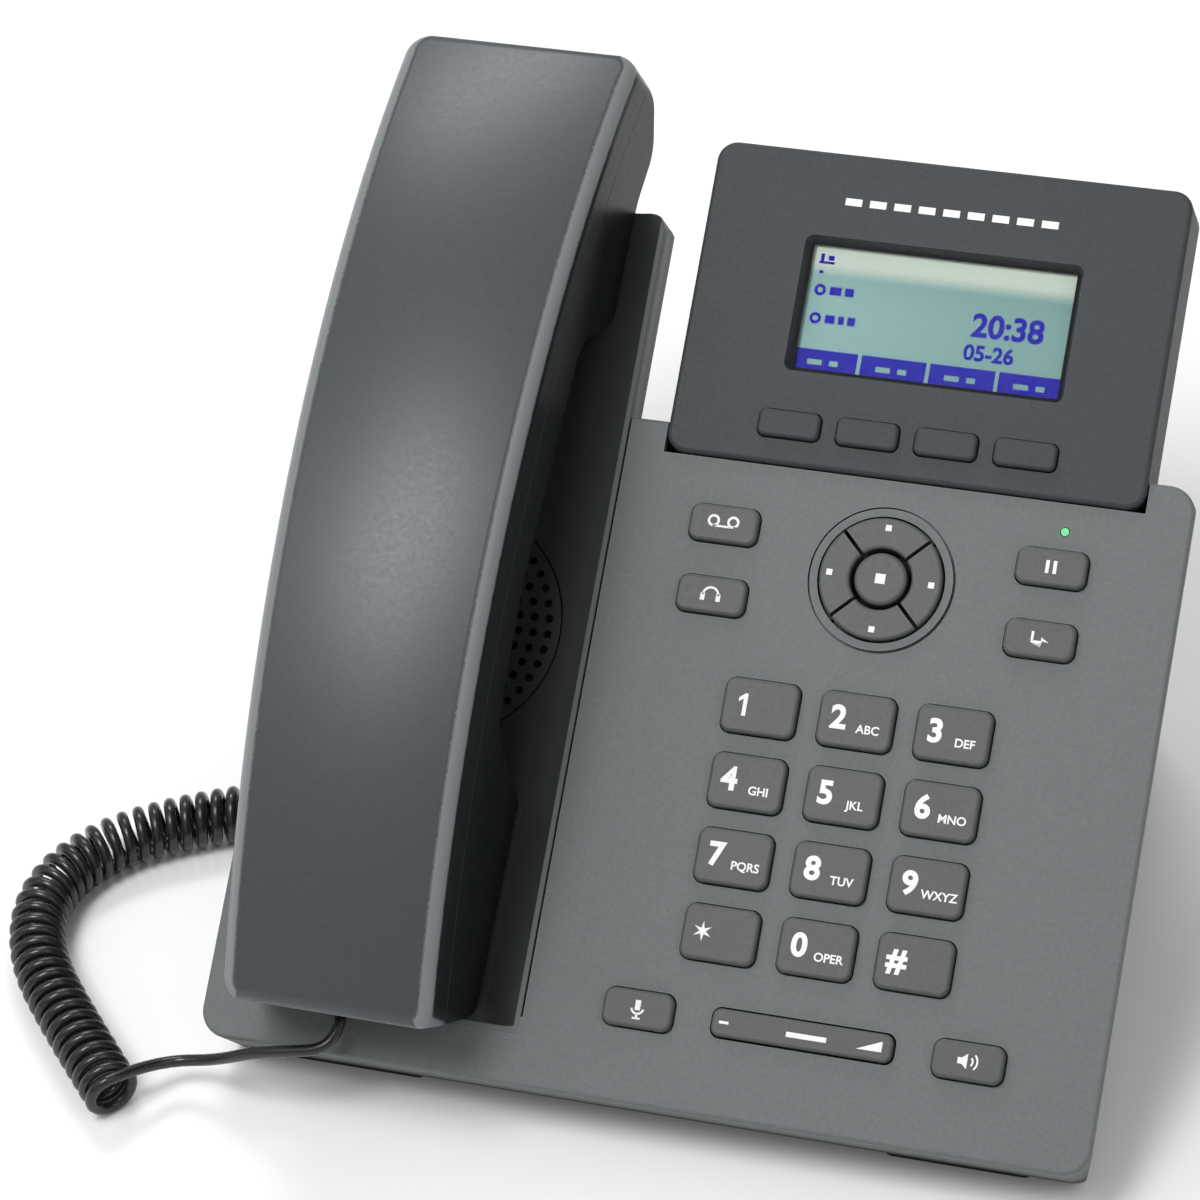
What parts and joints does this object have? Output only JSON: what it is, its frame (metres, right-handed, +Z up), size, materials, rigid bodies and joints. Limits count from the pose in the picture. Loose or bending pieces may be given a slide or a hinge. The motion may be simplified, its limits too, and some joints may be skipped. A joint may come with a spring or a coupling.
{
  "type": "desk ip phone",
  "caption": "Corded desk IP phone: wedge-shaped base on a foot stand, handset in a side cradle, raised display block, dial pad, navigation keys and a curly handset cord.",
  "frame": {"origin": "bottom centre of the phone's bounding box on the desk, without the handset cord", "axes": "+X to the user's right, +Y away from the user, +Z up"},
  "size_m": [0.2335, 0.1839, 0.1452],
  "materials": {
    "panel_plastic": "fine moulded texture, satin",
    "cradle_plastic": "satin",
    "rear_plastic": "fine moulded texture",
    "screw_steel": "zinc plated",
    "display_plastic": "fine moulded texture, satin",
    "lens_clear": "clear, polished",
    "lcd": "reflective liquid crystal panel",
    "light_green": "translucent light guide",
    "circuit_board": "solder mask",
    "silicone": "matte silicone",
    "jack_plastic": "moulded",
    "speaker_cone": "paper and steel",
    "foot_rubber": "matte rubber",
    "cord_black": "glossy flexible jacket",
    "plug_clear": "polished modular plug",
    "handset_plastic": "satin",
    "weight_steel": "plain steel bar",
    "key_plastic": "satin, printed legends"
  },
  "bodies": {
    "base": {"front_cover": "panel_plastic", "cradle": "cradle_plastic", "rear_cover": "rear_plastic", "cover_screws": "screw_steel", "display_bezel": "display_plastic", "display_rear_cover": "display_plastic", "lcd_lens": "lens_clear", "lcd_module": "lcd", "status_light": "light_green", "keypad_board": "circuit_board", "keypad_mat": "silicone", "main_board": "circuit_board", "network_jacks": "jack_plastic", "audio_jacks": "jack_plastic", "power_jack": "jack_plastic", "speaker_grille": "cradle_plastic", "loudspeaker": "speaker_cone", "microphone": "jack_plastic", "foot_stand": "rear_plastic", "rubber_feet": "foot_rubber", "handset_lead": "cord_black", "curly_cord": "cord_black", "base_lead": "cord_black", "base_plug": "plug_clear"},
    "handset": {"handset_back_shell": "handset_plastic", "handset_face_shell": "handset_plastic", "handset_earpiece": "speaker_cone", "handset_microphone": "jack_plastic", "handset_weight": "weight_steel", "handset_socket": "jack_plastic", "handset_plug": "plug_clear"},
    "hook_plunger": {"hook_plunger": "cradle_plastic"},
    "volume_rocker": {"volume_rocker": "key_plastic"},
    "key_1": {"key_1": "key_plastic"},
    "key_2": {"key_2": "key_plastic"},
    "key_3": {"key_3": "key_plastic"},
    "key_4": {"key_4": "key_plastic"},
    "key_5": {"key_5": "key_plastic"},
    "key_6": {"key_6": "key_plastic"},
    "key_7": {"key_7": "key_plastic"},
    "key_8": {"key_8": "key_plastic"},
    "key_9": {"key_9": "key_plastic"},
    "key_star": {"key_star": "key_plastic"},
    "key_0": {"key_0": "key_plastic"},
    "key_hash": {"key_hash": "key_plastic"},
    "message_key": {"message_key": "key_plastic"},
    "headset_key": {"headset_key": "key_plastic"},
    "hold_key": {"hold_key": "key_plastic"},
    "transfer_key": {"transfer_key": "key_plastic"},
    "mute_key": {"mute_key": "key_plastic"},
    "speaker_key": {"speaker_key": "key_plastic"},
    "soft_key_1": {"soft_key_1": "display_plastic"},
    "soft_key_2": {"soft_key_2": "display_plastic"},
    "soft_key_3": {"soft_key_3": "display_plastic"},
    "soft_key_4": {"soft_key_4": "display_plastic"},
    "nav_up": {"nav_up": "key_plastic"},
    "nav_down": {"nav_down": "key_plastic"},
    "nav_left": {"nav_left": "key_plastic"},
    "nav_right": {"nav_right": "key_plastic"},
    "nav_ok": {"nav_ok": "key_plastic"}
  },
  "joints": [
    {"name": "handset_lift", "type": "slide", "parent": "base", "child": "handset", "axis": [0, -0.5736, 0.8192], "range_m": [0, 0.08]},
    {"name": "hook_travel", "type": "slide", "parent": "base", "child": "hook_plunger", "axis": [0, -0.5736, 0.8192], "range_m": [0, 0.0032]},
    {"name": "volume_tilt", "type": "hinge", "parent": "base", "child": "volume_rocker", "pos_m": [0.0311, -0.06203, 0.02236], "axis": [0, 0.8192, 0.5736], "range_deg": [-2, 2], "stiffness_Nm_per_rad": 0.3},
    {"name": "key_1_press", "type": "slide", "parent": "base", "child": "key_1", "axis": [0, -0.5736, 0.8192], "range_m": [-0.0011, 0], "stiffness_N_per_m": 400},
    {"name": "key_2_press", "type": "slide", "parent": "base", "child": "key_2", "axis": [0, -0.5736, 0.8192], "range_m": [-0.0011, 0], "stiffness_N_per_m": 400},
    {"name": "key_3_press", "type": "slide", "parent": "base", "child": "key_3", "axis": [0, -0.5736, 0.8192], "range_m": [-0.0011, 0], "stiffness_N_per_m": 400},
    {"name": "key_4_press", "type": "slide", "parent": "base", "child": "key_4", "axis": [0, -0.5736, 0.8192], "range_m": [-0.0011, 0], "stiffness_N_per_m": 400},
    {"name": "key_5_press", "type": "slide", "parent": "base", "child": "key_5", "axis": [0, -0.5736, 0.8192], "range_m": [-0.0011, 0], "stiffness_N_per_m": 400},
    {"name": "key_6_press", "type": "slide", "parent": "base", "child": "key_6", "axis": [0, -0.5736, 0.8192], "range_m": [-0.0011, 0], "stiffness_N_per_m": 400},
    {"name": "key_7_press", "type": "slide", "parent": "base", "child": "key_7", "axis": [0, -0.5736, 0.8192], "range_m": [-0.0011, 0], "stiffness_N_per_m": 400},
    {"name": "key_8_press", "type": "slide", "parent": "base", "child": "key_8", "axis": [0, -0.5736, 0.8192], "range_m": [-0.0011, 0], "stiffness_N_per_m": 400},
    {"name": "key_9_press", "type": "slide", "parent": "base", "child": "key_9", "axis": [0, -0.5736, 0.8192], "range_m": [-0.0011, 0], "stiffness_N_per_m": 400},
    {"name": "key_star_press", "type": "slide", "parent": "base", "child": "key_star", "axis": [0, -0.5736, 0.8192], "range_m": [-0.0011, 0], "stiffness_N_per_m": 400},
    {"name": "key_0_press", "type": "slide", "parent": "base", "child": "key_0", "axis": [0, -0.5736, 0.8192], "range_m": [-0.0011, 0], "stiffness_N_per_m": 400},
    {"name": "key_hash_press", "type": "slide", "parent": "base", "child": "key_hash", "axis": [0, -0.5736, 0.8192], "range_m": [-0.0011, 0], "stiffness_N_per_m": 400},
    {"name": "message_key_press", "type": "slide", "parent": "base", "child": "message_key", "axis": [0, -0.5736, 0.8192], "range_m": [-0.0011, 0], "stiffness_N_per_m": 400},
    {"name": "headset_key_press", "type": "slide", "parent": "base", "child": "headset_key", "axis": [0, -0.5736, 0.8192], "range_m": [-0.0011, 0], "stiffness_N_per_m": 400},
    {"name": "hold_key_press", "type": "slide", "parent": "base", "child": "hold_key", "axis": [0, -0.5736, 0.8192], "range_m": [-0.0011, 0], "stiffness_N_per_m": 400},
    {"name": "transfer_key_press", "type": "slide", "parent": "base", "child": "transfer_key", "axis": [0, -0.5736, 0.8192], "range_m": [-0.0011, 0], "stiffness_N_per_m": 400},
    {"name": "mute_key_press", "type": "slide", "parent": "base", "child": "mute_key", "axis": [0, -0.5736, 0.8192], "range_m": [-0.0011, 0], "stiffness_N_per_m": 400},
    {"name": "speaker_key_press", "type": "slide", "parent": "base", "child": "speaker_key", "axis": [0, -0.5736, 0.8192], "range_m": [-0.0011, 0], "stiffness_N_per_m": 400},
    {"name": "soft_key_1_press", "type": "slide", "parent": "base", "child": "soft_key_1", "axis": [0, -0.5736, 0.8192], "range_m": [-0.0009, 0], "stiffness_N_per_m": 400},
    {"name": "soft_key_2_press", "type": "slide", "parent": "base", "child": "soft_key_2", "axis": [0, -0.5736, 0.8192], "range_m": [-0.0009, 0], "stiffness_N_per_m": 400},
    {"name": "soft_key_3_press", "type": "slide", "parent": "base", "child": "soft_key_3", "axis": [0, -0.5736, 0.8192], "range_m": [-0.0009, 0], "stiffness_N_per_m": 400},
    {"name": "soft_key_4_press", "type": "slide", "parent": "base", "child": "soft_key_4", "axis": [0, -0.5736, 0.8192], "range_m": [-0.0009, 0], "stiffness_N_per_m": 400},
    {"name": "nav_up_press", "type": "slide", "parent": "base", "child": "nav_up", "axis": [0, -0.5736, 0.8192], "range_m": [-0.0011, 0], "stiffness_N_per_m": 400},
    {"name": "nav_down_press", "type": "slide", "parent": "base", "child": "nav_down", "axis": [0, -0.5736, 0.8192], "range_m": [-0.0011, 0], "stiffness_N_per_m": 400},
    {"name": "nav_left_press", "type": "slide", "parent": "base", "child": "nav_left", "axis": [0, -0.5736, 0.8192], "range_m": [-0.0011, 0], "stiffness_N_per_m": 400},
    {"name": "nav_right_press", "type": "slide", "parent": "base", "child": "nav_right", "axis": [0, -0.5736, 0.8192], "range_m": [-0.0011, 0], "stiffness_N_per_m": 400},
    {"name": "nav_ok_press", "type": "slide", "parent": "base", "child": "nav_ok", "axis": [0, -0.5736, 0.8192], "range_m": [-0.0011, 0], "stiffness_N_per_m": 400}
  ],
  "couplings": [
    {"joint": "hook_travel", "follows": "handset_lift", "ratio": 0.04}
  ]
}
